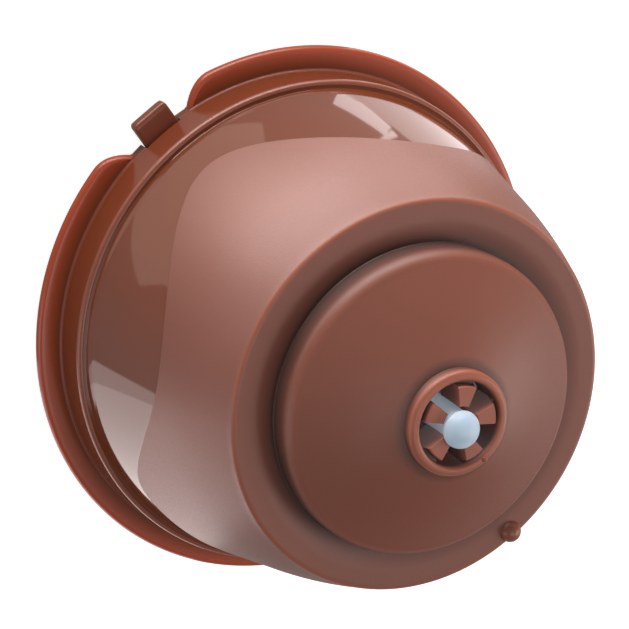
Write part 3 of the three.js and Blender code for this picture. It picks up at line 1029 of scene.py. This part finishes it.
def make_floor():
    """A wide pale floor that takes the pod's shadow. Emission adds to it, a lot in camera rays, where it
    comes out white, and a little in glossy and transmitted rays."""
    half = floor_half_width
    mesh = bpy.data.meshes.new("floor")
    corners = [(-half, -half, 0), (half, -half, 0), (half, half, 0), (-half, half, 0)]
    mesh.from_pydata(corners, [], [(0, 1, 2, 3)])
    floor = bpy.data.objects.new("floor", mesh)
    bpy.context.scene.collection.objects.link(floor)
    material, tree, shader = new_material("pale_floor")
    shader.inputs["Base Color"].default_value = floor_grey
    shader.inputs["Roughness"].default_value = 0.35
    path = tree.nodes.new("ShaderNodeLightPath").outputs
    seen = math_node(tree, "MULTIPLY", path["Is Camera Ray"], floor_to_camera)
    mirrored = math_node(tree, "ADD", path["Is Glossy Ray"], path["Is Transmission Ray"])
    mirrored = math_node(tree, "MULTIPLY", mirrored, floor_in_gloss)
    tree.links.new(math_node(tree, "ADD", seen, mirrored), shader.inputs["Emission Strength"])
    shader.inputs["Emission Color"].default_value = (1, 1, 1, 1)
    mesh.materials.append(material)


# Camera: how far its line of sight leans from the pod's axis, which way that axis points in the picture,
# how far the pod is turned about it, and where the flange's centre lies from the camera, in millimetres.
# The camera then goes up by camera_rise.
camera_lean = 32.6 * DEG
camera_roll = 33.33 * DEG
camera_turn = 18.0 * DEG
camera_distance = 344.5
camera_offset = (-2.54, -0.37)
camera_lens = 198.7
camera_rise = 0.6


def make_camera():
    """Camera whose right, up and back directions follow from the lean, roll and turn."""
    lean, roll, turn = camera_lean, camera_roll, camera_turn
    axis = np.array([math.sin(lean) * math.cos(roll), math.sin(lean) * math.sin(roll), -math.cos(lean)])
    across = np.array([-math.sin(roll), math.cos(roll), 0.0])
    pod_axes = np.stack([across, np.cross(axis, across), axis])
    spin = np.array([[math.cos(turn), -math.sin(turn), 0], [math.sin(turn), math.cos(turn), 0], [0, 0, 1]])
    to_pod = spin @ pod_axes
    right, up, back = to_pod @ [1, 0, 0], to_pod @ [0, -1, 0], to_pod @ [0, 0, -1]
    place = -to_pod @ np.array([*camera_offset, camera_distance]) + [0, 0, camera_rise]
    data = bpy.data.cameras.new("camera")
    data.lens = camera_lens
    data.sensor_width = 36
    data.clip_start = 0.01
    camera = bpy.data.objects.new("camera", data)
    bpy.context.scene.collection.objects.link(camera)
    turned = Matrix(np.stack([right, up, back], 1).tolist()).to_4x4()
    camera.matrix_world = Matrix.Translation(Vector(place * MM)) @ turned
    bpy.context.scene.camera = camera
    return right, up, back


white_light = (1, 1, 1)
side_tint = (1, 0.9, 0.86)
warm_tint = (1, 0.87, 0.85)
tan_tint = (1, 0.82, 0.68)
pale_tint = (1, 0.93, 0.93)
lit_height = 15
card_height = 0.5
surround_strength = 0.22


def area_lamp(name, size, tint):
    """A rectangular lamp of a size in metres and a tint."""
    data = bpy.data.lights.new(name, "AREA")
    data.shape = "RECTANGLE"
    data.size, data.size_y = size
    data.color = tint
    lamp = bpy.data.objects.new(name, data)
    bpy.context.scene.collection.objects.link(lamp)
    return lamp, data


def softbox(name, direction, distance, size, power, tint=white_light):
    """A lamp at a distance in a direction from the pod's middle, which it looks at, in metres and watts."""
    lamp, data = area_lamp(name, size, tint)
    data.energy = power
    heading = Vector(direction).normalized()
    lamp.location = heading * distance + Vector((0, 0, lit_height * MM))
    lamp.rotation_euler = heading.to_track_quat("Z", "Y").to_euler()


def reflector(name, place, size, turn, radiance, tint=warm_tint, only_gloss=True):
    """A card of light just above the floor, in millimetres, which faces up. The camera doesn't see it, and
    as a rule only the gloss shows it. Its power is the radiance times pi times its area."""
    card, data = area_lamp(name, (size[0] * MM, size[1] * MM), tint)
    data.energy = radiance * math.pi * data.size * data.size_y
    data.use_shadow = False
    card.location = (place[0] * MM, place[1] * MM, card_height * MM)
    card.rotation_euler = (math.pi, 0, turn * DEG)
    card.visible_camera = False
    card.visible_transmission = False
    card.visible_diffuse = not only_gloss


def make_softboxes(right, up, back):
    """A wide softbox above the picture, one on its right, a weak fill from the left, one from the front."""
    softbox("key", 0.88 * up + 0.46 * back + 0.04 * right, 0.75, (0.8, 0.26), power=5.6)
    softbox("right_side", 0.92 * right - 0.25 * up + 0.02 * back, 0.8, (0.5, 0.5), power=3.1, tint=side_tint)
    softbox("fill", -0.75 * right + 0.55 * back - 0.45 * up, 0.8, (0.3, 0.5), power=0.9)
    softbox("front", 0.5 * right - 0.5 * up + 0.8 * back, 1.0, (0.5, 0.5), power=1.9)


def make_reflectors():
    """Cards on the floor: sheen on the sleeve, glow from below, tan streaks, and the bright left and top
    patches of the glossy wall."""
    reflector("sheen_card", (-14, -60), (50, 34), turn=-13, radiance=8.5, tint=white_light)
    reflector("sheen_card_right", (-44, -32), (40, 30), turn=145, radiance=3.2)
    reflector("sheen_card_left", (72, -4), (40, 50), turn=0, radiance=2.4)
    reflector("low_glow", (28, -92), (90, 60), turn=15, radiance=2.9, only_gloss=False)
    reflector("high_glow", (-62, -66), (90, 60), turn=-45, radiance=3.0, only_gloss=False)
    reflector("tan_card_wide", (4, -36), (34, 15), turn=0, radiance=0.8, tint=tan_tint)
    reflector("tan_card", (-3, -36), (17, 14), turn=0, radiance=1.7, tint=tan_tint)
    reflector("left_card_edge", (37, -13.1), (28, 3.0), turn=0, radiance=1.3)
    reflector("left_card", (37, 3), (28, 29.2), turn=0, radiance=2.1)
    reflector("top_strip", (-24.8, -18.0), (8.4, 3.0), turn=162, radiance=2.4, tint=pale_tint)
    reflector("top_strip_end", (-29.7, -18.3), (5.5, 1.2), turn=83, radiance=2.4, tint=pale_tint)
    reflector("top_card", (-28.6, -7.6), (22, 13.2), turn=156, radiance=1.05)


def make_surround():
    """An even, weak white light from everywhere."""
    world = bpy.data.worlds.new("surround")
    bpy.context.scene.world = world
    world.use_nodes = True
    background = world.node_tree.nodes["Background"]
    background.inputs["Color"].default_value = (1, 1, 1, 1)
    background.inputs["Strength"].default_value = surround_strength


make_softboxes(*make_camera())
make_reflectors()
make_surround()
make_floor()
grain = moulded_grain_group()
make_cup(cup_plastic(grain))
make_lid(lid_plastic(grain))
make_flow_plate(milky_plastic(grain))
make_screens(screen_steel(grain))

bpy.context.scene.view_settings.view_transform = "Standard"
